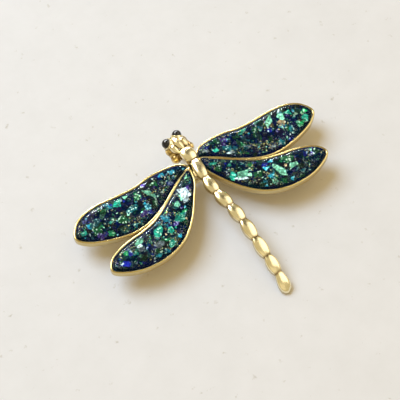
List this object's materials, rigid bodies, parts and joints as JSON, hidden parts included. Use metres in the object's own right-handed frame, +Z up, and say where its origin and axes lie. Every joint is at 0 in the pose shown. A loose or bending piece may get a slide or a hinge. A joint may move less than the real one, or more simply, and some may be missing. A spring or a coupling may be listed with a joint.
{
  "type": "insect brooch",
  "caption": "Winged insect brooch with a beaded gold-tone body, domed glitter resin wing inlays, dark bead eyes and a bar pin on the back.",
  "frame": {"origin": "middle of the brooch's outline seen from above, on the surface it rests on", "axes": "+X along the wings to the insect's right, +Y towards the head, +Z up out of the brooch's face"},
  "size_m": [0.061, 0.0436, 0.0079],
  "materials": {
    "gold_tone": "polished gold-tone plate",
    "glitter_resin": "clear gloss resin over dark glitter and foil chips",
    "black_bead": "polished black",
    "gold_tone_pin": "plain gold-tone plate"
  },
  "bodies": {
    "root": {"casting": "gold_tone", "front_inlay_left": "glitter_resin", "front_inlay_right": "glitter_resin", "hind_inlay_left": "glitter_resin", "hind_inlay_right": "glitter_resin", "eye_left": "black_bead", "eye_right": "black_bead", "brooch_pin": "gold_tone_pin"}
  },
  "joints": []
}
